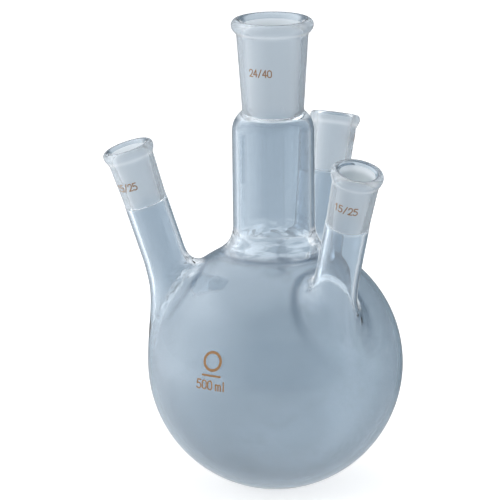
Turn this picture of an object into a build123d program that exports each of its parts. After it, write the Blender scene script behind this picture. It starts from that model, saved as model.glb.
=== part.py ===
from build123d import *
import math
import os

os.makedirs("parts", exist_ok=True)

# Driving dimensions, in millimetres. Z runs up the flask's axis from the bulb's lowest point.
BULB_OD = 105.0                        # 500 ml
BULB_WALL = 2.0

CENTRE_TUBE_OD = 33.5
CENTRE_TUBE_WALL = 2.0
CENTRE_BORE = (24.0, 20.0, 40.0)       # ground taper 24/40: wide end, narrow end, length
CENTRE_SOCKET_OD = (29.2, 24.9)        # outside, under the bead and at the narrow end
CENTRE_BEAD_OD = 33.6                  # a clamp for the tube still passes over it
CENTRE_BEAD_DROP = 3.4                 # from the bead's widest circle to its lower edge
CENTRE_SHOULDER = 8.0                  # height of the rounded shoulder
CENTRE_HEIGHT = 196.7                  # overall height, to the top of the lip
CENTRE_FILLET = 8.0                    # outside blend from tube to ball

SIDE_TUBE_OD = 17.7
SIDE_TUBE_WALL = 2.0
SIDE_BORE = (14.5, 12.0, 25.0)         # ground taper 15/25
SIDE_SOCKET_OD = (18.7, 17.4)
SIDE_BEAD_OD = 21.3
SIDE_BEAD_DROP = 3.6
SIDE_SHOULDER = 2.5
SIDE_TILT = 17.5                       # degrees from the flask's axis
SIDE_LIP_OUT = 7.0                     # the middle of a side lip, outward from the bulb's widest circle
SIDE_LIP_UP = 40.6                     # and up from the bulb's top
SIDE_FILLET = 6.0
SIDE_FLARE = 1.5                       # growth of a side collar's radius, all on its outer side
SIDE_NECKS = {"left": 180.0, "rear": 60.0, "front": 300.0}   # angle around the axis

# Seals between the pieces, which meet face to face there.
CENTRE_STUB = 5.0                      # from the bulb's top up to the lower seal
CENTRE_SOCKET_LENGTH = 48.7            # from the centre lip down to the upper seal
SIDE_SEALS = (45.7, 30.0)              # lower and upper seal, measured down the neck from its lip
COLLAR_SINK = 3.6                      # how far a side collar's outer side runs on inside the ball

# Fired-on enamel.
ENAMEL = 0.08
JOINT_TEXT = {"height": 2.9, "pitch": 2.15, "stroke": 0.42}
CAPACITY_TEXT = {"height": 3.6, "pitch": 2.6, "stroke": 0.56}
CENTRE_MARK = (-116.0, 20.0)           # angle around the socket's axis, distance below its lip
SIDE_MARKS = {"left": (52.0, 15.0), "rear": (-45.0, 9.5), "front": (-51.5, 13.8)}
BULB_MARK_ANGLE = -123.5
CAPACITY_HEIGHT = 56.8
EMBLEM_HEIGHT = 66.4
EMBLEM_OD = 8.4
EMBLEM_STROKE = 1.1
BAR = (8.6, 0.8, 60.7)                 # length, width, height up the bulb

# Single-stroke figures, one unit tall: two points make a line, three an arc.
FIGURES = {
    "0": [[(.04, .28), (.04, .72)], [(.56, .28), (.56, .72)],
          [(.04, .72), (.3, .98), (.56, .72)], [(.04, .28), (.3, .02), (.56, .28)]],
    "1": [[(.34, 0), (.34, 1)], [(.34, 1), (.12, .78)]],
    "2": [[(.04, .72), (.3, 1), (.56, .72)], [(.56, .72), (.41, .38), (.03, 0)], [(.03, 0), (.58, 0)]],
    "4": [[(.43, 1), (.02, .3)], [(.02, .3), (.6, .3)], [(.43, 1), (.43, 0)]],
    "5": [[(.53, 1), (.11, 1)], [(.11, 1), (.07, .56)], [(.07, .56), (.56, .32), (.02, .12)]],
    "/": [[(.08, -.06), (.52, 1.06)]],
    "m": [[(0, 0), (0, .66)], [(0, .5), (.15, .65), (.3, .5)], [(.3, .5), (.3, 0)],
          [(.3, .5), (.45, .65), (.6, .5)], [(.6, .5), (.6, 0)]],
    "l": [[(.3, 0), (.3, 1)]],
}
CAPACITY_STEPS = (0, 1, 2, 3.45, 4.35)  # where the characters of the capacity stand, in pitches

BALL_R = BULB_OD / 2
CAVITY_R = BALL_R - BULB_WALL
MIDDLE = Pos(0, 0, BALL_R)
CENTRE_SEALS = (BULB_OD + CENTRE_STUB, CENTRE_HEIGHT - CENTRE_SOCKET_LENGTH)
SIDE_LIP = (BALL_R + SIDE_LIP_OUT, BULB_OD + SIDE_LIP_UP)   # radius and height of a side lip's middle


def lip_radius(bore, bead_od):
    """Half the thickness of the rounded lip, which runs from the bore to the bead's widest circle."""
    return (bead_od - bore[0]) / 4


def cone_line(bore, bead_od, bead_drop, socket_od):
    """Ends (radius, height) of the socket's plain outer cone; heights from the lip's top."""
    return ((socket_od[0] / 2, -lip_radius(bore, bead_od) - bead_drop),
            (socket_od[1] / 2, 2.0 - bore[2]))


def socket(bore, bead_od, bead_drop, socket_od, shoulder, tube_od, tube_wall, length):
    """Ground socket: rounded lip and bead, tapered bore, shoulder, a stub of tube; lip at z = 0."""
    lip, bead_r = lip_radius(bore, bead_od), bead_od / 2
    mouth, tip = (bore[0] / 2, -lip), (bore[1] / 2, -bore[2])
    top, foot = cone_line(bore, bead_od, bead_drop, socket_od)
    end = foot[1] - shoulder
    wide, narrow = tube_od / 2, tube_od / 2 - tube_wall
    with BuildSketch(Plane.XZ) as half:
        with BuildLine():
            ThreePointArc(mouth, (mouth[0] + lip, 0), (bead_r, -lip))
            TangentArc((bead_r, -lip), top, tangent=(0, -1))
            Line(top, foot)
            TangentArc((wide, end), foot, tangent=(0, 1))
            Polyline((wide, end), (wide, -length), (narrow, -length), (narrow, end))
            TangentArc((narrow, end), tip, tangent=(0, 1))
            Line(tip, mouth)
        make_face()
    return revolve(half.sketch, Axis.Z)


def tube(od, wall, length):
    """Plain drawn tube, its upper end at z = 0."""
    return extrude(Circle(od / 2) - Circle(od / 2 - wall), -length)


def side_lip(angle):
    """Plane at the top of a side lip: Z out along the neck, X away from the flask's axis."""
    a, tilt = math.radians(angle), math.radians(SIDE_TILT)
    out, up = Vector(math.cos(a), math.sin(a), 0), Vector(0, 0, 1)
    return Plane(origin=out * SIDE_LIP[0] + up * SIDE_LIP[1],
                 x_dir=out * math.cos(tilt) - up * math.sin(tilt),
                 z_dir=out * math.sin(tilt) + up * math.cos(tilt))


def collar_depth():
    """Distance down a side neck's axis at which the outer side of its collar is inside the ball."""
    tilt, height = math.radians(SIDE_TILT), SIDE_LIP[1] - BALL_R
    nearest = SIDE_LIP[0] * math.sin(tilt) + height * math.cos(tilt)
    offset = SIDE_LIP[0] * math.cos(tilt) - height * math.sin(tilt) + SIDE_TUBE_OD / 2 + 2 * SIDE_FLARE
    return nearest - math.sqrt(BALL_R ** 2 - offset ** 2) + COLLAR_SINK


def collar(radius, over):
    """Side collar about the neck's own axis: plain at the seal, wider and off centre in the ball."""
    plain = Pos(0, 0, -SIDE_SEALS[0]) * extrude(Circle(radius), over) if over else None
    flared = loft([Pos(0, 0, -SIDE_SEALS[0]) * Circle(radius),
                   Pos(SIDE_FLARE, 0, -collar_depth()) * Circle(radius + SIDE_FLARE)])
    return flared + plain if plain else flared


def seams(body, ball_r):
    """Curves where tubes run into the ball."""
    centre = Vector(0, 0, BALL_R)
    return [e for e in body.edges() if e.is_closed
            and all(abs((e @ u - centre).length - ball_r) < 0.01 for u in (0.1, 0.4, 0.7))]


def blown(ball_r, centre_r, side_r, centre_fillet, side_fillet, over=0.0):
    """Ball with one upright and three tilted collars blended into it."""
    body = MIDDLE * Sphere(ball_r) + MIDDLE * extrude(Circle(centre_r), CENTRE_SEALS[0] + over - BALL_R)
    for angle in SIDE_NECKS.values():
        body += side_lip(angle) * collar(side_r, over)
    tilted = [e for e in seams(body, ball_r) if abs((e @ 0.1).Z - (e @ 0.6).Z) > 0.01]
    body = fillet(tilted, side_fillet)
    upright = [e for e in seams(body, ball_r)
               if abs(math.hypot((e @ 0.1).X, (e @ 0.1).Y) - centre_r) < 0.01]
    return fillet(upright, centre_fillet)


def figure(name, height, stroke):
    """Flat figure, centred sideways, standing on y = -height / 2."""
    face = Sketch()
    for points in FIGURES[name]:
        points = [((x - 0.3) * height, (y - 0.5) * height) for x, y in points]
        line = Line(*points) if len(points) == 2 else ThreePointArc(*points)
        face += trace(line, stroke)
        face += [Pos(*p) * Circle(stroke / 2) for p in (points[0], points[-1])]
    return face


def print_on(skin, stamps):
    """Enamel where each (plane, flat figure) stamp, pushed along its plane's Z, meets the skin."""
    solids = []
    for plane, face in stamps:
        solids += (plane * extrude(face, 1.0, both=True) & skin).solids()
    return Compound(children=solids)


def on_cone(ends, angle, height):
    """Plane on the outside of a cone about Z, its Y up the cone."""
    (r1, z1), (r2, z2) = ends
    slope, a = (r1 - r2) / (z1 - z2), math.radians(angle)
    r = r2 + slope * (height - z2)
    return Plane(origin=(r * math.cos(a), r * math.sin(a), height),
                 x_dir=(-math.sin(a), math.cos(a), 0),
                 z_dir=(math.cos(a), math.sin(a), -slope))


def on_ball(angle, height):
    """Plane on the outside of the bulb, its Y up the bulb."""
    a, z = math.radians(angle), height - BALL_R
    r = math.sqrt(BALL_R ** 2 - z ** 2)
    return Plane(origin=(r * math.cos(a), r * math.sin(a), height),
                 x_dir=(-math.sin(a), math.cos(a), 0),
                 z_dir=(r * math.cos(a), r * math.sin(a), z))


def joint_mark(text, ends, angle, below):
    """Joint size printed around a socket's cone; lip top at z = 0."""
    (r1, z1), (r2, z2) = ends
    skin = revolve(Plane.XZ * make_face(Polyline((r1, z1), (r2, z2), (r2 + ENAMEL, z2), (r1 + ENAMEL, z1),
                                                 close=True)), Axis.Z)
    step = math.degrees(JOINT_TEXT["pitch"] / r1)
    first = angle - step * (len(text) - 1) / 2
    return print_on(skin, [(on_cone(ends, first + i * step, -below),
                            figure(c, JOINT_TEXT["height"], JOINT_TEXT["stroke"]))
                           for i, c in enumerate(text)])


def save(shape, name):
    shape.label = name
    export_step(shape, f"parts/{name}.step")


# Bulb: the glass between the outside and the cavity, open at the four seals.
outside = blown(BALL_R, CENTRE_TUBE_OD / 2, SIDE_TUBE_OD / 2, CENTRE_FILLET, SIDE_FILLET)
cavity = blown(CAVITY_R, CENTRE_TUBE_OD / 2 - CENTRE_TUBE_WALL, SIDE_TUBE_OD / 2 - SIDE_TUBE_WALL,
               CENTRE_FILLET + BULB_WALL, SIDE_FILLET + BULB_WALL, over=5.0)
save(outside - cavity, "bulb")

# Centre neck: plain tube, then the 24/40 socket.
save(Pos(0, 0, CENTRE_SEALS[1]) * tube(CENTRE_TUBE_OD, CENTRE_TUBE_WALL, CENTRE_SEALS[1] - CENTRE_SEALS[0]),
     "centre_tube")
lip = Pos(0, 0, CENTRE_HEIGHT)
save(lip * socket(CENTRE_BORE, CENTRE_BEAD_OD, CENTRE_BEAD_DROP, CENTRE_SOCKET_OD, CENTRE_SHOULDER,
                  CENTRE_TUBE_OD, CENTRE_TUBE_WALL, CENTRE_HEIGHT - CENTRE_SEALS[1]), "centre_socket")
cone = cone_line(CENTRE_BORE, CENTRE_BEAD_OD, CENTRE_BEAD_DROP, CENTRE_SOCKET_OD)
save(lip * joint_mark("24/40", cone, *CENTRE_MARK), "centre_mark")

# Side necks: the same tube, 15/25 socket and mark, three times.
cone = cone_line(SIDE_BORE, SIDE_BEAD_OD, SIDE_BEAD_DROP, SIDE_SOCKET_OD)
for name, angle in SIDE_NECKS.items():
    lip = side_lip(angle)
    seal = Pos(0, 0, -SIDE_SEALS[1])
    save(lip * seal * tube(SIDE_TUBE_OD, SIDE_TUBE_WALL, SIDE_SEALS[0] - SIDE_SEALS[1]),
         f"side_tube_{name}")
    save(lip * socket(SIDE_BORE, SIDE_BEAD_OD, SIDE_BEAD_DROP, SIDE_SOCKET_OD, SIDE_SHOULDER,
                      SIDE_TUBE_OD, SIDE_TUBE_WALL, SIDE_SEALS[1]), f"side_socket_{name}")
    save(lip * joint_mark("15/25", cone, *SIDE_MARKS[name]), f"side_mark_{name}")

# Enamel on the bulb: the capacity, and a plain ring and bar above it.
ball_skin = MIDDLE * (Sphere(BALL_R + ENAMEL) - Sphere(BALL_R))
step = math.degrees(CAPACITY_TEXT["pitch"] / BALL_R)
save(print_on(ball_skin, [(on_ball(BULB_MARK_ANGLE + (s - CAPACITY_STEPS[-1] / 2) * step, CAPACITY_HEIGHT),
                           figure(c, CAPACITY_TEXT["height"], CAPACITY_TEXT["stroke"]))
                          for c, s in zip("500ml", CAPACITY_STEPS)]), "capacity_mark")
ring = Circle(EMBLEM_OD / 2) - Circle(EMBLEM_OD / 2 - EMBLEM_STROKE)
save(print_on(ball_skin, [(on_ball(BULB_MARK_ANGLE, EMBLEM_HEIGHT), ring),
                          (on_ball(BULB_MARK_ANGLE, BAR[2]), Rectangle(BAR[0], BAR[1]))]), "emblem_mark")
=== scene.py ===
import math

import bpy
import numpy as np
from mathutils import Matrix, Vector


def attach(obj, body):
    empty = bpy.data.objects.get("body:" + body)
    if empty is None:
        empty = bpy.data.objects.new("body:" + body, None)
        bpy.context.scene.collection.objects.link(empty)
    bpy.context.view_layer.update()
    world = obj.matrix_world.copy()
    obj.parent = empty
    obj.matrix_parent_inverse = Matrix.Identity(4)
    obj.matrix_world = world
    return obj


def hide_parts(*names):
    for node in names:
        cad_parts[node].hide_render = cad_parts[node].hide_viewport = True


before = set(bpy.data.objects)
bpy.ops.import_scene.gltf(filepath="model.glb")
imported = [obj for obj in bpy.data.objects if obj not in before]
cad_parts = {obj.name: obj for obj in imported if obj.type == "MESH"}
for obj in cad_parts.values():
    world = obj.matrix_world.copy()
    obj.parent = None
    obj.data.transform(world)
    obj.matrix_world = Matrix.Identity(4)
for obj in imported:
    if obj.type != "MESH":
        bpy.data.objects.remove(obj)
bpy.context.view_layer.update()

# ---------------------------------------------------------------------------------------------
# Bulb. A ball of clear borosilicate glass, blown to 105 mm, with an upright collar and three
# tilted ones melted onto it. The wall is 2 mm; it is thicker in the seams, where the outside was
# worked smooth and the inside was left with a tighter edge.
# ---------------------------------------------------------------------------------------------
MM = 0.001
BALL_R = 52.5
WALL = 2.0
BALL_MIDDLE = np.array((0.0, 0.0, BALL_R))

CENTRE_R = 16.75
CENTRE_SEALS = (110.0, 148.0)        # heights of the centre neck's two seals
CENTRE_BLEND = (9.0, 5.5)            # width of the seam's blend, outside and inside
CENTRE_FOOT = 60.0                   # the collar's rod ends here, inside the ball

SIDE_R = 8.85
SIDE_TILT = math.radians(17.5)
SIDE_LIP = (59.5, 145.6)             # radius and height of a side lip's middle
SIDE_SEALS = (45.7, 30.0)            # lower and upper seal, down the neck from its lip
SIDE_BLEND = (11.0, 13.0)
SIDE_FLARE = (1.5, 80.0)             # growth of a side collar, and the depth where it is complete
SIDE_FOOT = 105.0
SEAM_UNEVEN = 0.04                   # how much the depth of a seam's blend varies along it
SIDE_NECKS = {"left": 180.0, "rear": 60.0, "front": 300.0}

PATCH_HALF = 60                      # a side neck's patch of the ball reaches this many degrees both ways
ARC_STEPS = 48                       # columns in a third of a turn
SIDE_STEPS = 34                      # rows beside a side neck
TOP_ROWS = 24
NECK_ROWS = 46
BOTTOM_ROWS = 40
TOP_ANGLE = math.radians(28)         # the ball's patches meet at these angles from its top
LOW_ANGLE = math.radians(94)
JOIN_DIGITS = 5                      # points that agree to this many decimals of a millimetre are joined


def neck_frame(angle):
    """A side lip's middle and its three axes: away from the flask's axis, sideways, out along the neck."""
    turn = math.radians(angle)
    out = np.array((math.cos(turn), math.sin(turn), 0.0))
    up = np.array((0.0, 0.0, 1.0))
    across = out * math.cos(SIDE_TILT) - up * math.sin(SIDE_TILT)
    along = out * math.sin(SIDE_TILT) + up * math.cos(SIDE_TILT)
    return out * SIDE_LIP[0] + up * SIDE_LIP[1], np.stack((across, np.cross(along, across), along))


def ease(u):
    """Smooth step from 0 to 1 as u goes from 0 to 1: 3u^2 - 2u^3."""
    u = np.clip(u, 0, 1)
    return u * u * (3 - 2 * u)


def uneven(points):
    """Slow, irregular change over space, from -1 to 1: the mean of four sine waves that run different ways,
    each given in radians per millimetre."""
    waves = np.array(((0.61, 0.23, 0.75), (-0.52, 0.94, 0.31), (0.38, -0.47, 1.28), (1.10, 0.68, -0.42)))
    return np.sin(points @ waves.T + np.arange(4) * 1.7).mean(-1)


def melt(a, b, width, grain):
    """The lesser of two distances, and (width - |a - b|)^2 / 4 width less than that where they are close,
    by more or by less along the seam, as it is worked by hand."""
    near = np.maximum(width - np.abs(a - b), 0)
    return np.minimum(a, b) - near * near / (4 * width) * (1 + SEAM_UNEVEN * grain)


def blown(points, inset, side):
    """Distance outside the blown shape: a ball melted together with an upright rod and three tilted ones."""
    shape = np.linalg.norm(points - BALL_MIDDLE, axis=-1) - (BALL_R - inset)
    drop = np.maximum(CENTRE_FOOT - points[..., 2], 0)
    rod = np.sqrt(points[..., 0] ** 2 + points[..., 1] ** 2 + drop ** 2) - (CENTRE_R - inset)
    grain = uneven(points)
    shape = melt(shape, rod, CENTRE_BLEND[side], grain)
    for angle in SIDE_NECKS.values():
        lip, axes = neck_frame(angle)
        across, sideways, along = np.moveaxis((points - lip) @ axes.T, -1, 0)
        flare = SIDE_FLARE[0] * ease((-along - SIDE_SEALS[0]) / (SIDE_FLARE[1] - SIDE_SEALS[0]))
        drop = np.maximum(-along - SIDE_FOOT, 0)
        rod = np.sqrt((across - flare) ** 2 + sideways ** 2 + drop ** 2) - (SIDE_R - inset + flare)
        shape = melt(shape, rod, SIDE_BLEND[side], grain)
    return shape


def outside(points):
    """Distance outside the bulb's outer surface."""
    return blown(points, 0.0, 0)


def inside(points):
    """Distance outside its inner surface, which lies one wall further in."""
    return blown(points, WALL, 1)


def slope(field, points, step=1e-3):
    """A field's slope at each point, by central differences."""
    steps = np.eye(3) * step
    return np.stack([(field(points + e) - field(points - e)) / (2 * step) for e in steps], -1)


def settle(field, points):
    """Points moved along a field's slope onto its zero surface, by ten Newton steps."""
    for _ in range(10):
        grade = slope(field, points)
        points = points - (field(points) / (grade ** 2).sum(-1))[..., None] * grade
    return points


def unit(vectors):
    """Vectors divided by their lengths."""
    return vectors / np.linalg.norm(vectors, axis=-1, keepdims=True)


def on_ball(polar, turn):
    """Point of the ball at an angle from its top and a turn about its axis."""
    polar, turn = np.broadcast_arrays(polar, turn)
    ray = np.stack((np.sin(polar) * np.cos(turn), np.sin(polar) * np.sin(turn), np.cos(polar)), -1)
    return BALL_MIDDLE + BALL_R * ray


def bend(start, corner, end, rows):
    """Rows of points along quadratic curves from start to end, drawn towards corner."""
    t = np.linspace(0, 1, rows + 1)[:, None, None]
    return (1 - t) ** 2 * start + 2 * t * (1 - t) * corner + t ** 2 * end


def grid_faces(rows, columns):
    """Corner numbers of the faces of a grid of points, row by row."""
    first = (np.arange(rows - 1)[:, None] * columns + np.arange(columns - 1)).ravel()
    return np.stack((first, first + 1, first + columns + 1, first + columns), -1)


def sheet(points, normals, material):
    """A grid of points with its normals, its faces and its material's number."""
    faces = grid_faces(*points.shape[:2])
    points, normals = points.reshape(-1, 3), normals.reshape(-1, 3)
    a, b, c, d = (points[faces[:, i]] for i in range(4))
    turned = (np.cross(c - a, d - b) * normals[faces].sum(1)).sum(-1) < 0
    faces[turned] = faces[turned][:, ::-1]
    return points, normals, faces, material


def closed_mesh(name, sheets, materials):
    """Object of sheets joined where their points coincide; each sheet keeps its own smooth normals. A face
    whose corners coincide, as at the bottom of the ball, is left with three."""
    starts = np.cumsum([0] + [len(s[0]) for s in sheets])
    points = np.concatenate([s[0] for s in sheets])
    normals = np.concatenate([s[1] for s in sheets])
    faces = np.concatenate([s[2] + start for s, start in zip(sheets, starts)])
    numbers = np.concatenate([np.full(len(s[2]), s[3]) for s in sheets])
    spots, joined = np.unique(np.round(points, JOIN_DIGITS) + 0.0, axis=0, return_inverse=True)
    corners = joined.reshape(-1)[faces]
    keep = np.stack([corners[:, i] != corners[:, (i + 1) % 4] for i in range(4)], -1)
    sides = keep.sum(-1)
    mesh = bpy.data.meshes.new(name)
    mesh.vertices.add(len(spots))
    mesh.vertices.foreach_set("co", (spots * MM).ravel())
    mesh.loops.add(int(sides.sum()))
    mesh.loops.foreach_set("vertex_index", corners[keep])
    mesh.polygons.add(len(faces))
    mesh.polygons.foreach_set("loop_start", np.cumsum(sides) - sides)
    mesh.polygons.foreach_set("loop_total", sides)
    mesh.polygons.foreach_set("material_index", numbers)
    mesh.polygons.foreach_set("use_smooth", np.ones(len(faces), dtype=bool))
    mesh.update(calc_edges=True)
    mesh.normals_split_custom_set(normals[faces[keep]])
    for material in materials:
        mesh.materials.append(material)
    piece = bpy.data.objects.new(name, mesh)
    bpy.context.scene.collection.objects.link(piece)
    return piece


def new_material(name):
    """Material with one Principled shader, and a shorthand that adds a node to it."""
    material = bpy.data.materials.new(name)
    material.use_nodes = True
    tree = material.node_tree
    shader = tree.nodes["Principled BSDF"]

    def add(kind, **values):
        return add_node(tree, kind, **values)
    return material, shader, add


def add_node(tree, kind, **values):
    """A node of that kind. A value's name is a socket's, a socket's number after "in", or a property's."""
    node = tree.nodes.new("ShaderNode" + kind)
    for key, value in values.items():
        spot = int(key[2:]) if key[2:].isdigit() else key.replace("_", " ").title()
        if not isinstance(spot, int) and spot not in node.inputs:
            setattr(node, key, value)
        elif isinstance(value, bpy.types.NodeSocket):
            tree.links.new(value, node.inputs[spot])
        else:
            node.inputs[spot].default_value = value
    return node


def blend(tree, amount, under, over):
    """One colour laid over another: under * (1 - amount) + over * amount."""
    under, over = (colour if isinstance(colour, bpy.types.NodeSocket) else (*colour, 1)
                   for colour in (under, over))
    return add_node(tree, "Mix", data_type="RGBA", in0=amount, in6=under, in7=over).outputs[2]


def ramp(tree, value, ends, levels=(0.0, 1.0), shape="LINEAR"):
    """Runs from the first level to the second while value runs from the first end to the second."""
    return add_node(tree, "MapRange", interpolation_type=shape, value=value, in1=ends[0], in2=ends[1],
                    in3=levels[0], in4=levels[1]).outputs["Result"]


def combine(tree, operation, first, second):
    """Two values multiplied, added, or put together in another way of the Math node."""
    return add_node(tree, "Math", operation=operation, in0=first, in1=second).outputs[0]


def drawn_glass_group():
    """Group of effects that all the glass shares: an uneven tint, and the faint waves of drawn glass."""
    group = bpy.data.node_groups.new("drawn_glass", "ShaderNodeTree")
    sockets = group.interface
    sockets.new_socket("Tint", in_out="INPUT", socket_type="NodeSocketColor")
    sockets.new_socket("Deep Tint", in_out="INPUT", socket_type="NodeSocketColor")
    sockets.new_socket("Waves", in_out="INPUT", socket_type="NodeSocketFloat")
    sockets.new_socket("Color", in_out="OUTPUT", socket_type="NodeSocketColor")
    sockets.new_socket("Normal", in_out="OUTPUT", socket_type="NodeSocketVector")
    entry = group.nodes.new("NodeGroupInput")
    leave = group.nodes.new("NodeGroupOutput")
    place = add_node(group, "TexCoord").outputs["Object"]
    cloud = add_node(group, "TexNoise", vector=place, scale=22.0, detail=2.0)
    tint = blend(group, cloud.outputs["Fac"], entry.outputs["Tint"], entry.outputs["Deep Tint"])
    stretch = add_node(group, "Mapping", vector=place, scale=(1.0, 1.0, 0.22))
    wave = add_node(group, "TexNoise", vector=stretch.outputs["Vector"], scale=60.0, detail=1.0)
    bump = add_node(group, "Bump", height=wave.outputs["Fac"], strength=entry.outputs["Waves"],
                    distance=0.0006)
    group.links.new(tint, leave.inputs["Color"])
    group.links.new(bump.outputs["Normal"], leave.inputs["Normal"])
    return group


drawn_glass = drawn_glass_group()


def outside_material(name):
    """Outside of clear glass: its tint darkens to a painted shade where the surface turns away. This is
    partly for the longer path along the wall and partly for the dark edges that glass shows there by
    refraction.
    The necks are paler than the ball, and palest over the ground sockets, whose frost hides the tint. A
    seam has painted highlights as pale streaks, and a thin line of painted shade where it runs out into the
    ball. The tint is let go again where the glass is seen through other glass or in a reflection."""
    material, shader, add = new_material(name)
    tree = material.node_tree
    place = add("TexCoord").outputs["Object"]
    height = add("SeparateXYZ", vector=place).outputs["Z"]
    away = add("VectorMath", operation="DISTANCE", in0=place, in1=tuple(BALL_MIDDLE * MM)).outputs["Value"]
    ground = add("Attribute", attribute_name="ground").outputs["Fac"]
    bead = add("Attribute", attribute_name="bead").outputs["Fac"]

    def outward(ends):
        """From 0 to 1 between two distances outside the ball."""
        return ramp(tree, away, [(BALL_R + end) * MM for end in ends])

    def upward(ends, levels=(0.0, 1.0)):
        """From one level to another between two heights."""
        return ramp(tree, height, [end * MM for end in ends], levels)

    body = add("Group", node_tree=drawn_glass, tint=(*CLEAR_TINT, 1), in1=(*CLEAR_DEEP, 1),
               waves=CLEAR_WAVES)
    neck = outward(NECK_RISE)
    tint = blend(tree, ground, blend(tree, neck, body.outputs["Color"], NECK_TINT), SOCKET_TINT)
    # Painted shade: a dark rim where the surface turns away, only where the outside is seen from outside.
    edge = blend(tree, ground, blend(tree, neck, CLEAR_RIM_SHADE, NECK_RIM_SHADE), SOCKET_RIM_SHADE)
    rim_shade_ends = [ramp(tree, ground, (0, 1), (ramp(tree, neck, (0, 1), (ball, tube)), socket))
                 for ball, tube, socket in zip(BALL_RIM_SHADE_TURN, NECK_RIM_SHADE_TURN, GROUND_RIM_SHADE_TURN)]
    facing = ramp(tree, add("LayerWeight", blend=0.5).outputs["Facing"], rim_shade_ends)
    front = combine(tree, "SUBTRACT", 1.0, add("NewGeometry").outputs["Backfacing"])
    colour = blend(tree, combine(tree, "MULTIPLY", facing, front), tint, edge)

    # Painted shade: a thin dark line where a seam runs out into the ball, darker higher up.
    line = combine(tree, "MULTIPLY", outward(SHADE_LINE_RISE), outward(SHADE_LINE_FALL))
    line = combine(tree, "MULTIPLY", line, upward(SHADE_LINE_HEIGHTS, SHADE_LINE_DEPTHS))
    colour = blend(tree, line, colour, SEAM_SHADE_LINE)

    # Painted highlights: pale streaks in the upper seams.
    highlight_zone = combine(tree, "MULTIPLY", outward(SEAM_HIGHLIGHT_RISE), outward(SEAM_HIGHLIGHT_FALL))
    highlight_zone = combine(tree, "MULTIPLY", upward(HIGHLIGHT_STREAK_HEIGHTS), highlight_zone)
    level = add("Mapping", vector=place, scale=HIGHLIGHT_STREAK_SHAPE).outputs["Vector"]
    cloud = add("TexNoise", vector=level, scale=230.0, detail=2.0, distortion=0.7).outputs["Fac"]
    painted_highlight = combine(tree, "MULTIPLY", ramp(tree, cloud, HIGHLIGHT_STREAK_CLOUD, (HIGHLIGHT_STREAK_LEAST, 1.0)), highlight_zone)
    colour = blend(tree, painted_highlight, colour, SEAM_HIGHLIGHT_TINT)
    # Painted highlight: a pale ring where the bead runs out into the socket.
    colour = blend(tree, bead, colour, BEAD_HIGHLIGHT_TINT)

    path = add("LightPath")
    behind = ramp(tree, path.outputs["Transmission Depth"], (3, 4), (0.0, BEHIND_FADE))
    mirrored = combine(tree, "MINIMUM", path.outputs["Glossy Depth"], MIRRORED_FADE)
    colour = blend(tree, combine(tree, "MAXIMUM", behind, mirrored), colour, (1, 1, 1))
    tree.links.new(colour, shader.inputs["Base Color"])
    tree.links.new(body.outputs["Normal"], shader.inputs["Normal"])
    make_clear(shader)
    return material


def inside_material(name):
    """Inside of clear glass: almost no tint of its own, with the same waves."""
    material, shader, add = new_material(name)
    body = add("Group", node_tree=drawn_glass, tint=(*INSIDE_TINT, 1), in1=(*INSIDE_DEEP, 1),
               waves=CLEAR_WAVES)
    material.node_tree.links.new(body.outputs["Color"], shader.inputs["Base Color"])
    material.node_tree.links.new(body.outputs["Normal"], shader.inputs["Normal"])
    make_clear(shader)
    return material


def make_clear(shader):
    """Numbers of smooth borosilicate glass."""
    shader.inputs["Roughness"].default_value = 0.01
    shader.inputs["IOR"].default_value = GLASS_IOR
    shader.inputs["Transmission Weight"].default_value = 1.0


GLASS_IOR = 1.473
CLEAR_TINT = (0.235, 0.29, 0.34)
CLEAR_DEEP = (0.195, 0.25, 0.305)
# painted shade: the ball's dark rim
CLEAR_RIM_SHADE = (0.035, 0.07, 0.11)
NECK_TINT = (0.262, 0.325, 0.387)
# painted shade: the necks' dark rim
NECK_RIM_SHADE = (0.035, 0.06, 0.09)
SOCKET_TINT = (0.58, 0.628, 0.662)
# painted shade: the sockets' darker rim
SOCKET_RIM_SHADE = (0.40, 0.47, 0.53)
BEAD_HIGHLIGHT_TINT = (0.92, 0.94, 0.95)       # painted highlight, where the bead runs out into the socket
INSIDE_TINT = (0.93, 0.96, 0.98)
INSIDE_DEEP = (0.88, 0.92, 0.95)
CLEAR_WAVES = 0.06
BALL_RIM_SHADE_TURN = (0.36, 0.78)             # how far the surface turns away where the painted rim shade begins and ends
NECK_RIM_SHADE_TURN = (0.43, 0.62)
GROUND_RIM_SHADE_TURN = (0.32, 0.44)
NECK_RISE = (1.0, 7.0)               # the necks' tint comes in between these distances outside the ball
SEAM_HIGHLIGHT_TINT = (0.80, 0.86, 0.92)       # painted highlights: the pale streaks in a seam
SEAM_HIGHLIGHT_RISE = (0.5, 2.0)               # they come in between these distances outside the ball
SEAM_HIGHLIGHT_FALL = (9.0, 4.0)               # and are gone again here
HIGHLIGHT_STREAK_HEIGHTS = (92.0, 99.0)        # and only the upper seams have them, from between these heights
HIGHLIGHT_STREAK_SHAPE = (0.35, 0.35, 1.6)     # they lie level, round the neck
HIGHLIGHT_STREAK_CLOUD = (0.47, 0.60)          # the levels of the noise between which a streak comes in
HIGHLIGHT_STREAK_LEAST = 0.15                  # how much of their paleness is left between them
SEAM_SHADE_LINE = (0.03, 0.055, 0.09)      # painted shade: the thin darker line where a seam runs out into the ball
SHADE_LINE_RISE = (0.05, 0.45)             # where it comes in and goes out, outside the ball
SHADE_LINE_FALL = (1.6, 0.7)
SHADE_LINE_HEIGHTS = (72.0, 90.0)          # it grows from the first depth to the second between these heights
SHADE_LINE_DEPTHS = (0.1, 0.9)
BEHIND_FADE = 0.5                    # how far the tint is let go where glass is seen through other glass,
MIRRORED_FADE = 0.95                 # and where it is seen in a reflection
clear_outside = outside_material("clear_glass")
clear_inside = inside_material("clear_glass_inside")

# The face where two pieces are sealed is inside the glass, so nothing shows there.
seal, seal_shader, _ = new_material("seal")
seal_shader.inputs["Alpha"].default_value = 0.0


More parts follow.
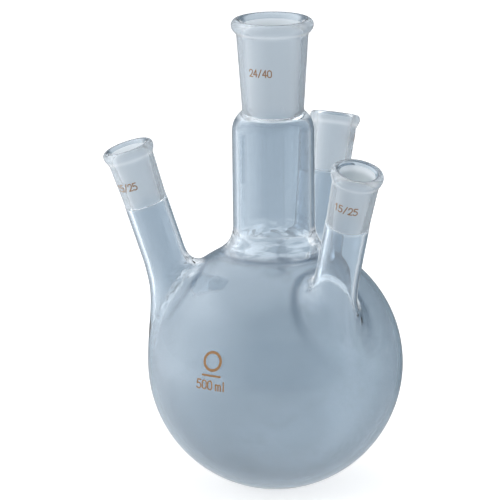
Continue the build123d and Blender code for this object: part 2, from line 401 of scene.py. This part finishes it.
def ball_patches():
    """Grids of points that cover the bulb's outside, roughly: one round each collar and one below."""
    turns = np.linspace(0, 2 * math.pi, 3 * ARC_STEPS + 1)
    ring = np.stack((np.cos(turns), np.sin(turns), np.zeros_like(turns)), -1) * CENTRE_R
    height = math.sqrt(BALL_R ** 2 - CENTRE_R ** 2) + BALL_R
    up = np.array((0.0, 0.0, 1.0))
    patches = [bend(ring + up * CENTRE_SEALS[0], ring + up * height, on_ball(TOP_ANGLE, turns), TOP_ROWS)]
    for angle in SIDE_NECKS.values():
        lip, axes = neck_frame(angle)
        side = np.radians(angle) + np.radians(np.linspace(-PATCH_HALF, PATCH_HALF, ARC_STEPS + 1))
        fall = np.linspace(TOP_ANGLE, LOW_ANGLE, SIDE_STEPS + 1)
        edge = np.concatenate((on_ball(TOP_ANGLE, side)[:-1], on_ball(fall, side[-1])[:-1],
                               on_ball(LOW_ANGLE, side[::-1])[:-1], on_ball(fall[::-1], side[0])))
        across, sideways, _ = ((edge - lip) @ axes.T).T
        turn = np.arctan2(sideways, across)
        circle = lip + SIDE_R * (np.cos(turn)[:, None] * axes[0] + np.sin(turn)[:, None] * axes[1])
        reach = (BALL_MIDDLE - circle) @ -axes[2]
        closest = ((BALL_MIDDLE - circle) ** 2).sum(-1) - reach ** 2
        depth = reach - np.sqrt(BALL_R ** 2 - closest)
        patches.append(bend(circle - SIDE_SEALS[0] * axes[2], circle - depth[:, None] * axes[2],
                            edge, NECK_ROWS))
    patches.append(on_ball(np.linspace(LOW_ANGLE, math.pi, BOTTOM_ROWS + 1)[:, None], turns))
    return patches


def bulb_sheets():
    """Outside and inside of every patch, and the four rings where the necks are sealed on."""
    sheets = []
    for number, patch in enumerate(ball_patches()):
        outer = settle(outside, patch)
        inner = settle(inside, outer)
        sheets.append(sheet(outer, unit(slope(outside, outer)), 0))
        sheets.append(sheet(inner, -unit(slope(inside, inner)), 1))
        if number <= len(SIDE_NECKS):
            cap = np.stack((outer[0], inner[0]))
            rise = np.array((0.0, 0.0, 1.0)) if number == 0 else unit(patch[0] - patch[1]).mean(0)
            sheets.append(sheet(cap, np.broadcast_to(rise, cap.shape), 2))
    return sheets


bulb = closed_mesh("bulb_glass", bulb_sheets(), [clear_outside, clear_inside, seal])
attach(bulb, "root")
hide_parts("bulb")

# ---------------------------------------------------------------------------------------------
# Centre neck. Plain drawn tube, sealed to the bulb's upright collar below and to a 24/40 socket
# above. The socket is drawn in over a mandrel, has a rounded, fire-polished bead, and is ground
# inside to a 1 in 10 taper, which leaves it evenly frosted.
# ---------------------------------------------------------------------------------------------
CENTRE_LIP = 196.7
CENTRE_BORE = (24.0, 20.0, 40.0)     # wide end, narrow end, length
CENTRE_BEAD = (33.6, 3.4)            # width, and how far below its widest circle it ends
CENTRE_CONE = (29.2, 24.9)           # outside, under the bead and at the narrow end
CENTRE_SHOULDER = 8.0
CENTRE_AROUND = 144
FOOT_RISE = 2.0                      # the cone outside ends this far above the ground bore's lower end
LIP_POINTS = 30
PROFILE_STEP = 0.6
FINE_STEP = PROFILE_STEP / 3
TUBE_STEP = 2.0
POLISH = 0.8                         # how far fire polishing rounds the outside's corners
GROUND_SOFT = 1.2                    # widths of the frost's edge, at its lower end
LIP_SOFT = 0.3                       # and at the bore's mouth
LIP_CLEAR = (0.7, 0.6)               # how far out the lip is clear, and the width of that edge, in its radii
BEAD_HIGHLIGHT_RING = (0.8, 0.35)              # the bead's painted highlight ring: middle and half width, in heights of the bead
MOUTH_SHADE_DEPTHS = (2.5, 5.5)                   # the bore's painted shade comes in between these depths down


def tangent_arc(start, direction, end, count=24):
    """Points of the arc that leaves start in a direction and passes through end."""
    start, end = np.array(start, float), np.array(end, float)
    normal = np.array((-direction[1], direction[0]), float)
    chord = end - start
    radius = chord @ chord / (2 * chord @ normal)
    centre = start + radius * normal
    first = math.atan2(*(start - centre)[::-1])
    sweep = 2 * math.atan2(chord @ normal, chord @ np.array(direction, float))
    angles = first + np.linspace(0, sweep, count)
    return centre + abs(radius) * np.stack((np.cos(angles), np.sin(angles)), -1)


def evenly(points, step):
    """The same line, through points spaced evenly along it."""
    points = np.array(points, float)
    run = np.concatenate(((0,), np.cumsum(np.linalg.norm(np.diff(points, axis=0), axis=1))))
    at = np.linspace(0, run[-1], int(run[-1] / step) + 2)
    return np.stack([np.interp(at, run, points[:, i]) for i in (0, 1)], -1)


def polished(points, reach, step):
    """The same line with its corners rounded: each point becomes the mean of those within reach of it."""
    half = max(int(reach / step), 1)
    for _ in range(2):
        padded = np.concatenate((2 * points[:1] - points[half:0:-1], points,
                                 2 * points[-1:] - points[-2:-half - 2:-1]))
        total = np.cumsum(np.concatenate((np.zeros((1, 2)), padded)), axis=0)
        points = (total[2 * half + 1:] - total[:-2 * half - 1]) / (2 * half + 1)
    return points


def socket_profile(bore, bead, cone, shoulder, tube_r, length):
    """Three lines of (radius, height) points, the lip's middle being at height 0: up the outside from the
    seal and over the lip, down the ground bore, and down the inside of the tube to the seal. The outside is
    a straight tube, an arc for the shoulder, a straight cone, an arc for the bead and a half circle for
    the lip."""
    lip = (bead[0] - bore[0]) / 4
    top, foot = (cone[0] / 2, -lip - bead[1]), (cone[1] / 2, FOOT_RISE - bore[2])
    end, narrow = foot[1] - shoulder, tube_r - WALL
    mouth, tip = (bore[0] / 2, -lip), (bore[1] / 2, -bore[2])
    round_lip = np.linspace(0, math.pi, LIP_POINTS)[:, None]
    lip_line = (np.array((bore[0] / 2 + lip, -lip))
                + lip * np.concatenate((np.cos(round_lip), np.sin(round_lip)), 1))
    out = np.concatenate((((tube_r, -length),), tangent_arc((tube_r, end), (0, 1), foot),
                          tangent_arc((bead[0] / 2, -lip), (0, -1), top)[::-1], lip_line))
    low = np.concatenate((tangent_arc((narrow, end), (0, 1), tip)[::-1], ((narrow, -length),)))
    outer = polished(evenly(out, FINE_STEP), POLISH, FINE_STEP)
    lower = polished(evenly(low, FINE_STEP), POLISH / 3, FINE_STEP)
    ground = (outer[-1], lower[0])
    return [evenly(line, PROFILE_STEP) for line in (outer, ground, lower)]


def turned_sheet(line, around, place, material):
    """Sheet of a line of (radius, height) points turned about an axis; the glass lies to its left."""
    origin, axes = place
    turn = np.linspace(0, 2 * math.pi, around + 1)
    spoke = np.cos(turn)[:, None] * axes[0] + np.sin(turn)[:, None] * axes[1]
    points = origin + line[:, :1, None] * spoke + line[:, 1:, None] * axes[2]
    way = np.gradient(line, axis=0)
    if len(line) > 2:
        way[0], way[-1] = 2 * way[0] - way[1], 2 * way[-1] - way[-2]
    normals = way[:, 1:, None] * spoke - way[:, :1, None] * axes[2]
    return sheet(points, unit(normals), material)


def mark_socket(piece, place, bore, bead):
    """Stores three masks at a socket's points. "ground" is 1 beside the ground bore, and 0 below it and on
    the clear inner half of the lip. "bead" is 1 outside, where the bead runs out into the socket, and places
    a painted highlight there. "depth" places the bore's painted shade: it goes from 0 at the mouth to 1 a
    little way down."""
    points = np.empty(3 * len(piece.data.vertices))
    piece.data.vertices.foreach_get("co", points)
    across, sideways, along = ((points.reshape(-1, 3) / MM - place[0]) @ place[1].T).T
    past_bore = np.hypot(across, sideways) - bore[0] / 2
    lip = (bead[0] - bore[0]) / 4
    below = (-along - lip) / bead[1]
    lip_inside = 1 - ease((past_bore - LIP_CLEAR[0] * lip) / (LIP_CLEAR[1] * lip))
    lip_top = ease((along + lip) / LIP_SOFT + 1)
    masks = {"ground": ease((along + bore[2]) / GROUND_SOFT + 0.5) * (1 - lip_inside * lip_top),
             "bead": ease(1 - abs(below - BEAD_HIGHLIGHT_RING[0]) / BEAD_HIGHLIGHT_RING[1]) * ease(past_bore),
             "depth": ease((-along - MOUTH_SHADE_DEPTHS[0]) / (MOUTH_SHADE_DEPTHS[1] - MOUTH_SHADE_DEPTHS[0]))}
    for name, values in masks.items():
        piece.data.attributes.new(name, "FLOAT", "POINT").data.foreach_set("value", values)


def tube_sheets(radius, low, high, around, place):
    """Outside, inside and both end rings of a plain tube."""
    outer = evenly(((radius, low), (radius, high)), TUBE_STEP)
    inner = evenly(((radius - WALL, high), (radius - WALL, low)), TUBE_STEP)
    ends = [np.array(((radius, high), (radius - WALL, high))),
            np.array(((radius - WALL, low), (radius, low)))]
    return ([turned_sheet(outer, around, place, 0), turned_sheet(inner, around, place, 1)]
            + [turned_sheet(line, around, place, 2) for line in ends])


def socket_sheets(profile, around, place):
    """Outside and lip, ground bore, inside of the tube, and the ring at the seal."""
    outer, ground, lower = profile
    ring = np.array((lower[-1], outer[0]))
    return [turned_sheet(line, around, place, material)
            for line, material in ((outer, 0), (ground, 3), (lower, 1), (ring, 2))]


def ground_glass_material(name):
    """Ground glass: a fine, even frost left by the grinding, with a painted shade deeper down in the open
    mouth.
    """
    material, shader, add = new_material(name)
    tree = material.node_tree
    place = add("TexCoord").outputs["Object"]
    body = add("Group", node_tree=drawn_glass, tint=(*GROUND_TINT, 1), in1=(*GROUND_DEEP, 1), waves=0.0)
    straight = ramp(tree, add("LightPath").outputs["Transmission Depth"], (1.0, 0.0))
    # Painted shade down in the open mouth, where the bore is seen straight on.
    mouth = combine(tree, "MULTIPLY", straight, add("Attribute", attribute_name="depth").outputs["Fac"])
    grain = add("TexNoise", vector=place, scale=2600.0, detail=3.0).outputs["Fac"]
    bump = add("Bump", height=grain, strength=0.35, distance=0.00006)
    tree.links.new(blend(tree, mouth, body.outputs["Color"], MOUTH_SHADE_TINT), shader.inputs["Base Color"])
    tree.links.new(ramp(tree, grain, (0, 1), GROUND_ROUGHNESS), shader.inputs["Roughness"])
    tree.links.new(bump.outputs["Normal"], shader.inputs["Normal"])
    shader.inputs["IOR"].default_value = GLASS_IOR
    shader.inputs["Transmission Weight"].default_value = 0.9
    return material


GROUND_TINT = (0.80, 0.84, 0.88)
GROUND_DEEP = (0.74, 0.79, 0.84)
MOUTH_SHADE_TINT = (0.36, 0.41, 0.43)      # painted shade of the bore, where it is seen straight through the mouth
GROUND_ROUGHNESS = (0.38, 0.62)
ground_glass = ground_glass_material("ground_glass")

upright = (np.zeros(3), np.eye(3))
centre_tube = closed_mesh("centre_tube_glass",
                          tube_sheets(CENTRE_R, *CENTRE_SEALS, CENTRE_AROUND, upright),
                          [clear_outside, clear_inside, seal])
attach(centre_tube, "root")
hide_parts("centre_tube")

centre_lip = (np.array((0.0, 0.0, CENTRE_LIP)), np.eye(3))
centre_profile = socket_profile(CENTRE_BORE, CENTRE_BEAD, CENTRE_CONE, CENTRE_SHOULDER, CENTRE_R,
                                CENTRE_LIP - CENTRE_SEALS[1])
centre_socket = closed_mesh("centre_socket_glass",
                            socket_sheets(centre_profile, CENTRE_AROUND, centre_lip),
                            [clear_outside, clear_inside, seal, ground_glass])
mark_socket(centre_socket, centre_lip, CENTRE_BORE, CENTRE_BEAD)
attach(centre_socket, "root")
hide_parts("centre_socket")

# ---------------------------------------------------------------------------------------------
# Side necks. Three alike, tilted away from the middle: a short plain tube with a 15/25 socket,
# made and ground as the centre one.
# ---------------------------------------------------------------------------------------------
SIDE_BORE = (14.5, 12.0, 25.0)
SIDE_BEAD = (21.3, 3.6)
SIDE_CONE = (18.7, 17.4)
SIDE_SHOULDER = 2.5
SIDE_AROUND = 112

side_profile = socket_profile(SIDE_BORE, SIDE_BEAD, SIDE_CONE, SIDE_SHOULDER, SIDE_R, SIDE_SEALS[1])
for neck, angle in SIDE_NECKS.items():
    place = neck_frame(angle)
    side_tube = closed_mesh(f"side_tube_{neck}_glass",
                            tube_sheets(SIDE_R, -SIDE_SEALS[0], -SIDE_SEALS[1], SIDE_AROUND, place),
                            [clear_outside, clear_inside, seal])
    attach(side_tube, "root")
    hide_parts(f"side_tube_{neck}")
    side_socket = closed_mesh(f"side_socket_{neck}_glass", socket_sheets(side_profile, SIDE_AROUND, place),
                              [clear_outside, clear_inside, seal, ground_glass])
    mark_socket(side_socket, place, SIDE_BORE, SIDE_BEAD)
    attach(side_socket, "root")
    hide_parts(f"side_socket_{neck}")

# ---------------------------------------------------------------------------------------------
# Enamel marks. Orange-brown figures and a plain emblem, screened onto the glass and fired in:
# slightly raised, glossy, and a little uneven in colour where the enamel went on thin.
# ---------------------------------------------------------------------------------------------
ENAMEL_FULL = (0.22, 0.10, 0.025)
ENAMEL_THIN = (0.35, 0.17, 0.05)
ENAMEL_ROUGHNESS = (0.22, 0.42)

enamel, enamel_shader, add = new_material("enamel")
tree = enamel.node_tree
speckle = add("TexNoise", vector=add("TexCoord").outputs["Object"], scale=1400.0, detail=4.0).outputs["Fac"]
blotch = add("ValToRGB", fac=speckle)
for stop, place, colour in zip(blotch.color_ramp.elements, (0.3, 0.7), (ENAMEL_FULL, ENAMEL_THIN)):
    stop.position = place
    stop.color = (*colour, 1)
bump = add("Bump", height=speckle, strength=0.3, distance=0.00003)
tree.links.new(blotch.outputs["Color"], enamel_shader.inputs["Base Color"])
tree.links.new(ramp(tree, speckle, (0, 1), ENAMEL_ROUGHNESS), enamel_shader.inputs["Roughness"])
tree.links.new(bump.outputs["Normal"], enamel_shader.inputs["Normal"])
for mark in ("centre_mark", "side_mark_left", "side_mark_rear", "side_mark_front", "capacity_mark",
             "emblem_mark"):
    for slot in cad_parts[mark].material_slots:
        slot.material = enamel

# ---------------------------------------------------------------------------------------------
# Studio. A white floor that runs out into a white surround, three soft lamps, and panels of light
# that are seen only in the glass: a large one to the left and small ones to the right. Behind to
# the right it is darker, as of a black card, which gives the glass its dark edge there.
# ---------------------------------------------------------------------------------------------
FLOOR_HALF = 8.0
FLOOR_DROP = 0.0001                  # it lies this far below the flask
FLOOR_PAINT = 0.76
FLOOR_GLOW = 0.66
DARK_SIDE = (0.6, 0.8, 0.0)          # the way to the dark card
DARK_FLOOR = (-0.10, 0.15)           # the mirrored floor darkens that way, between these distances,
DARK_PAINT = 0.12                    # to this paint
DARK_GLOW = 0.1                      # and this glow
FLOOR_FAR = (0.5, 2.0)               # through glass, the floor turns into the surround over these distances
MIRRORED_FAR = 4.0                   # and over that many times shorter ones in reflections
LIGHT_LEVEL = 0.60
CEILING = (0.35, 0.85)               # the surround fades from white to the ceiling between these heights
CEILING_LEVEL = 0.5
ROOM_SIDES = (-0.15, -0.85)          # in reflections the surround turns white to the left, from this level
ROOM_LEVEL = 0.5
CARD_SIDES = (0.2, 0.9)              # and it fades towards the dark card, to this share
CARD_LEVEL = 0.4
COOL = (0.94, 0.98, 1.02)            # daylight, a little cooler than the backdrop
OVERHEAD = tuple(unit(np.array((-0.30, 0.30, 0.90))))
OVERHEAD_SPREAD = (0.60, 0.97)
OVERHEAD_LEVEL = 1.7
PANEL_STEP = 0.02
PANEL_COLUMNS = 25
PANEL_FADES = (0.5, 0.3)             # how much of a panel its soft edges take, at each side and at each end
PANEL_BEHIND = 1.15                  # a panel's brightness through glass that is itself seen in a reflection
BALL_HEIGHT = BALL_R * MM


def mix(tree, amount, first, second):
    """The value that lies between two others: first * (1 - amount) + second * amount."""
    return add_node(tree, "Mix", in0=amount, in2=first, in3=second).outputs[0]


def room_light(tree, ray):
    """How bright the surround looks in a reflection, by the direction of the ray."""
    leftward = add_node(tree, "SeparateXYZ", vector=ray).outputs["X"]
    room = ramp(tree, leftward, ROOM_SIDES, (ROOM_LEVEL, 1.0), "SMOOTHSTEP")
    cardward = add_node(tree, "VectorMath", operation="DOT_PRODUCT", in0=ray, in1=DARK_SIDE).outputs["Value"]
    card = ramp(tree, cardward, CARD_SIDES, (1.0, CARD_LEVEL), "SMOOTHSTEP")
    return combine(tree, "MULTIPLY", room, card)


floor_mesh = bpy.data.meshes.new("floor")
corners = [(x * FLOOR_HALF, y * FLOOR_HALF, -FLOOR_DROP) for x, y in ((-1, -1), (1, -1), (1, 1), (-1, 1))]
floor_mesh.from_pydata(corners, [], [(0, 1, 2, 3)])
floor = bpy.data.objects.new("floor", floor_mesh)
bpy.context.scene.collection.objects.link(floor)
floor_paint, floor_shader, add = new_material("floor_paint")
tree = floor_paint.node_tree
place = add("TexCoord").outputs["Object"]
path = add("LightPath")
glass = combine(tree, "MAXIMUM", path.outputs["Is Glossy Ray"], path.outputs["Is Transmission Ray"])
mirrored = combine(tree, "GREATER_THAN", path.outputs["Is Glossy Ray"], path.outputs["Is Transmission Ray"])

# Far away the floor takes on the surround's light, so that no horizon shows in the ball.
distance = add("VectorMath", operation="LENGTH", in0=place).outputs["Value"]
distance = combine(tree, "MULTIPLY", distance, ramp(tree, mirrored, (0, 1), (1.0, MIRRORED_FAR)))
far = combine(tree, "MULTIPLY", ramp(tree, distance, FLOOR_FAR, shape="SMOOTHSTEP"), glass)
ray = add("VectorMath", operation="NORMALIZE", in0=place).outputs["Vector"]
horizon = mix(tree, mirrored, 1.0, room_light(tree, ray))

cardward = add("VectorMath", operation="DOT_PRODUCT", in0=place, in1=DARK_SIDE).outputs["Value"]
level = mix(tree, mirrored, FLOOR_GLOW, ramp(tree, cardward, DARK_FLOOR, (FLOOR_GLOW, DARK_GLOW)))
level = mix(tree, far, level, horizon)
seen = combine(tree, "MAXIMUM", path.outputs["Is Camera Ray"], glass)
paint = mix(tree, mirrored, FLOOR_PAINT, ramp(tree, cardward, DARK_FLOOR, (FLOOR_PAINT, DARK_PAINT)))
tree.links.new(mix(tree, far, paint, 0.0), floor_shader.inputs["Base Color"])
tree.links.new(blend(tree, far, (1, 1, 1), COOL), floor_shader.inputs["Emission Color"])
tree.links.new(combine(tree, "MULTIPLY", seen, level), floor_shader.inputs["Emission Strength"])
floor_shader.inputs["Roughness"].default_value = 0.9
floor_shader.inputs["Specular IOR Level"].default_value = 0.1
floor_mesh.materials.append(floor_paint)

world = bpy.data.worlds.new("surround")
bpy.context.scene.world = world
world.use_nodes = True
tree = world.node_tree
path = add_node(tree, "LightPath")
ray = add_node(tree, "TexCoord").outputs["Generated"]
height = add_node(tree, "SeparateXYZ", vector=ray).outputs["Z"]
studio = ramp(tree, height, CEILING, (1.0, CEILING_LEVEL), "SMOOTHSTEP")
nearness = add_node(tree, "VectorMath", operation="DOT_PRODUCT", in0=ray, in1=OVERHEAD).outputs["Value"]
window = ramp(tree, nearness, OVERHEAD_SPREAD, (0.0, OVERHEAD_LEVEL), "SMOOTHSTEP")
level = mix(tree, path.outputs["Is Glossy Ray"], LIGHT_LEVEL,
            combine(tree, "ADD", room_light(tree, ray), window))
level = mix(tree, path.outputs["Is Transmission Ray"], level, combine(tree, "ADD", studio, window))
level = mix(tree, path.outputs["Is Camera Ray"], level, 1.0)
hue = blend(tree, path.outputs["Is Camera Ray"], COOL, (1, 1, 1))
tree.links.new(level, tree.nodes["Background"].inputs["Strength"])
tree.links.new(hue, tree.nodes["Background"].inputs["Color"])


def soft_lamp(name, direction, distance, size, power):
    """Rectangular lamp at a distance in a direction from the bulb's middle, pointed at it. It isn't seen."""
    light = bpy.data.lights.new(name, "AREA")
    light.shape = "RECTANGLE"
    light.size, light.size_y = size
    light.energy = power
    lamp = bpy.data.objects.new(name, light)
    bpy.context.scene.collection.objects.link(lamp)
    ray = unit(np.array(direction, float))
    lamp.location = np.array((0, 0, BALL_HEIGHT)) + ray * distance
    lamp.rotation_euler = Vector(ray).to_track_quat("Z", "Y").to_euler()
    lamp.visible_camera = lamp.visible_glossy = lamp.visible_transmission = False


def soft_panel(name, turns, profile, strength):
    """Sheet of light: a profile of (distance, height) points carried round part of a circle. It is brightest
    in its middle and fades to its edges, and shows as a reflection, or through glass that is itself seen in
    a reflection."""
    line = evenly(profile, PANEL_STEP)
    u, v = np.meshgrid(np.linspace(0, 1, PANEL_COLUMNS), np.linspace(0, 1, len(line)))
    angle = np.radians(turns[0] + u * (turns[1] - turns[0]))
    points = np.stack((line[:, :1] * np.cos(angle), line[:, :1] * np.sin(angle), line[:, 1:] + 0 * u), -1)
    mesh = bpy.data.meshes.new(name)
    faces = grid_faces(*u.shape)
    mesh.from_pydata(points.reshape(-1, 3), [], faces.tolist())
    layer = mesh.uv_layers.new(name="panel")
    layer.uv.foreach_set("vector", np.stack((u.ravel(), v.ravel()), -1)[faces.ravel()].ravel())
    material, shader, add = new_material(name)
    tree = material.node_tree
    sides = add("SeparateXYZ", vector=add("UVMap", uv_map="panel").outputs["UV"])
    path = add("LightPath")
    mirrored = ramp(tree, path.outputs["Glossy Depth"], (0, 1), (1.0, 1 - PANEL_BEHIND))
    hidden = combine(tree, "MULTIPLY", path.outputs["Is Transmission Ray"], mirrored)
    level = combine(tree, "MULTIPLY", combine(tree, "SUBTRACT", 1.0, hidden), strength)
    for side, fade in zip("XY", PANEL_FADES):
        rise = ramp(tree, sides.outputs[side], (0.0, fade), shape="SMOOTHSTEP")
        fall = ramp(tree, sides.outputs[side], (1.0, 1 - fade), shape="SMOOTHSTEP")
        level = combine(tree, "MULTIPLY", combine(tree, "MULTIPLY", rise, fall), level)
    light = add("Emission", strength=level, color=(*COOL, 1))
    both = add("AddShader", in0=light.outputs[0], in1=add("BsdfTransparent").outputs[0])
    tree.links.new(both.outputs[0], tree.nodes["Material Output"].inputs["Surface"])
    tree.nodes.remove(shader)
    material.cycles.emission_sampling = "NONE"
    mesh.materials.append(material)
    panel = bpy.data.objects.new(name, mesh)
    bpy.context.scene.collection.objects.link(panel)
    panel.visible_camera = panel.visible_diffuse = panel.visible_shadow = False


soft_panel("left_panel", (108, 248), ((0.02, 0.002), (0.52, 0.002), (0.60, 0.10), (0.60, 0.90)), 1.7)
soft_panel("right_panel", (-42, -10), ((0.10, 0.002), (0.42, 0.002), (0.46, 0.08), (0.46, 0.40)), 0.4)
soft_panel("far_right_panel", (4, 36), ((0.30, 0.002), (0.42, 0.002), (0.46, 0.08), (0.46, 0.60)), 0.08)
soft_lamp("left_window", (-1.0, -0.75, 0.55), 0.9, (0.45, 0.60), 2.2)
soft_lamp("right_window", (1.0, -0.5, 0.35), 1.0, (0.35, 0.55), 1.5)
soft_lamp("overhead", (-0.1, 0.35, 1.0), 1.0, (0.5, 0.3), 1.5)

# The camera looks slightly down at the flask, with its left neck square to the view.
CAMERA_TURN = math.radians(-93.74)
CAMERA_RISE = math.radians(17.0)
CAMERA_DISTANCE = 1.4
CAMERA_AIM = Vector((-0.0100, 0.0, 0.1006))
CAMERA_ROLL = math.radians(-0.67)
CAMERA_LENS = 244.2

camera_data = bpy.data.cameras.new("camera")
camera_data.sensor_width = 36.0
camera_data.lens = CAMERA_LENS
camera_data.clip_end = 50.0
camera = bpy.data.objects.new("camera", camera_data)
bpy.context.scene.collection.objects.link(camera)
camera.location = (CAMERA_DISTANCE * math.cos(CAMERA_RISE) * math.cos(CAMERA_TURN),
                   CAMERA_DISTANCE * math.cos(CAMERA_RISE) * math.sin(CAMERA_TURN),
                   CAMERA_DISTANCE * math.sin(CAMERA_RISE) + BALL_HEIGHT)
facing = (camera.location - CAMERA_AIM).to_track_quat("Z", "Y").to_matrix()
camera.rotation_euler = (facing @ Matrix.Rotation(CAMERA_ROLL, 3, "Z")).to_euler()
bpy.context.scene.camera = camera

# Light passes many walls of glass, one behind the other.
BOUNCES = 128

cycles = bpy.context.scene.cycles
cycles.max_bounces = BOUNCES
cycles.transmission_bounces = BOUNCES
cycles.transparent_max_bounces = BOUNCES
cycles.glossy_bounces = BOUNCES
bpy.context.scene.view_settings.view_transform = "Standard"

# Bring the scene up to date.
bpy.context.view_layer.update()
